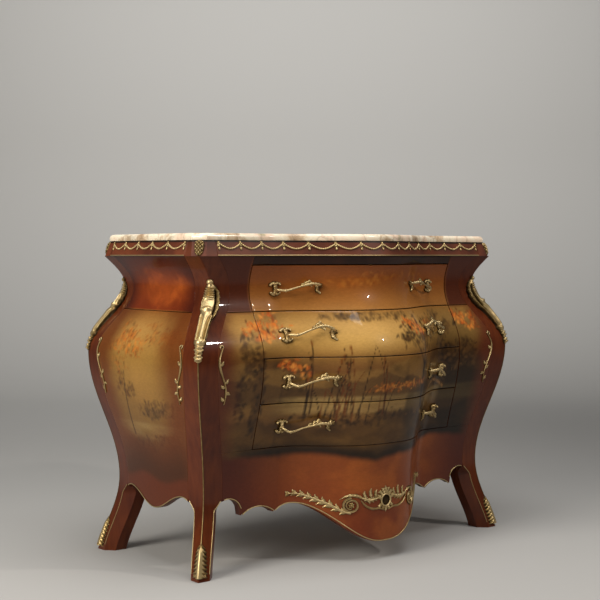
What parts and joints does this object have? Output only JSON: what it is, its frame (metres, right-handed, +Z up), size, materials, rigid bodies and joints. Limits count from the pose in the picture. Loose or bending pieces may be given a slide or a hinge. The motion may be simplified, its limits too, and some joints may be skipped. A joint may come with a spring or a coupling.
{
  "type": "bombe chest of drawers",
  "caption": "Bombe chest of drawers: swelling lacquered body on splayed legs, bowed front, marble slab, sliding drawers with fixed pulls and gilt metal mounts.",
  "frame": {"origin": "on the floor below the middle of the whole chest", "axes": "+Z up, -Y to the front, +X to the right of a person who faces the front"},
  "size_m": [1.1316, 0.6748, 0.864],
  "materials": {
    "marble": "polished veined marble",
    "gilt_brass": "cast and gilded brass",
    "steel": "plain steel bolts",
    "painted_lacquer": "gloss lacquer over painted panels",
    "red_lacquer": "gloss red brown lacquer",
    "plain_wood": "unpolished wood"
  },
  "bodies": {
    "carcass": {"apron_fillets": "gilt_brass", "apron_mount": "gilt_brass", "arris_fillets": "gilt_brass", "back_panel": "plain_wood", "belly_side_left": "painted_lacquer", "belly_side_right": "painted_lacquer", "belly_stile_left": "painted_lacquer", "belly_stile_right": "painted_lacquer", "bottom_board": "plain_wood", "corner_bosses": "gilt_brass", "corner_mounts_front": "gilt_brass", "corner_mounts_rear": "gilt_brass", "cornice_back": "red_lacquer", "cornice_beads": "gilt_brass", "cornice_blocks": "red_lacquer", "cornice_front": "red_lacquer", "cornice_garlands": "gilt_brass", "cornice_left": "red_lacquer", "cornice_right": "red_lacquer", "drawer_guides": "plain_wood", "dust_shelves": "plain_wood", "front_apron": "painted_lacquer", "marble_top": "marble", "neck_side_left": "painted_lacquer", "neck_side_right": "painted_lacquer", "neck_stile_left": "painted_lacquer", "neck_stile_right": "painted_lacquer", "panel_scrolls": "gilt_brass", "post_front_left": "red_lacquer", "post_front_right": "red_lacquer", "post_rear_left": "red_lacquer", "post_rear_right": "red_lacquer", "sabots": "gilt_brass", "top_board": "plain_wood", "top_rail": "red_lacquer"},
    "drawer_1": {"drawer_1_back": "plain_wood", "drawer_1_bolts": "steel", "drawer_1_bottom": "plain_wood", "drawer_1_front": "painted_lacquer", "drawer_1_pulls": "gilt_brass", "drawer_1_sides": "plain_wood"},
    "drawer_2": {"drawer_2_back": "plain_wood", "drawer_2_bolts": "steel", "drawer_2_bottom": "plain_wood", "drawer_2_front": "painted_lacquer", "drawer_2_pulls": "gilt_brass", "drawer_2_sides": "plain_wood"},
    "drawer_3": {"drawer_3_back": "plain_wood", "drawer_3_bolts": "steel", "drawer_3_bottom": "plain_wood", "drawer_3_front": "painted_lacquer", "drawer_3_pulls": "gilt_brass", "drawer_3_sides": "plain_wood"},
    "drawer_4": {"drawer_4_back": "plain_wood", "drawer_4_bolts": "steel", "drawer_4_bottom": "plain_wood", "drawer_4_front": "painted_lacquer", "drawer_4_pulls": "gilt_brass", "drawer_4_sides": "plain_wood"}
  },
  "joints": [
    {"name": "drawer_1_slide", "type": "slide", "parent": "carcass", "child": "drawer_1", "axis": [0, -1, 0], "range_m": [0, 0.26]},
    {"name": "drawer_2_slide", "type": "slide", "parent": "carcass", "child": "drawer_2", "axis": [0, -1, 0], "range_m": [0, 0.26]},
    {"name": "drawer_3_slide", "type": "slide", "parent": "carcass", "child": "drawer_3", "axis": [0, -1, 0], "range_m": [0, 0.26]},
    {"name": "drawer_4_slide", "type": "slide", "parent": "carcass", "child": "drawer_4", "axis": [0, -1, 0], "range_m": [0, 0.26]}
  ]
}
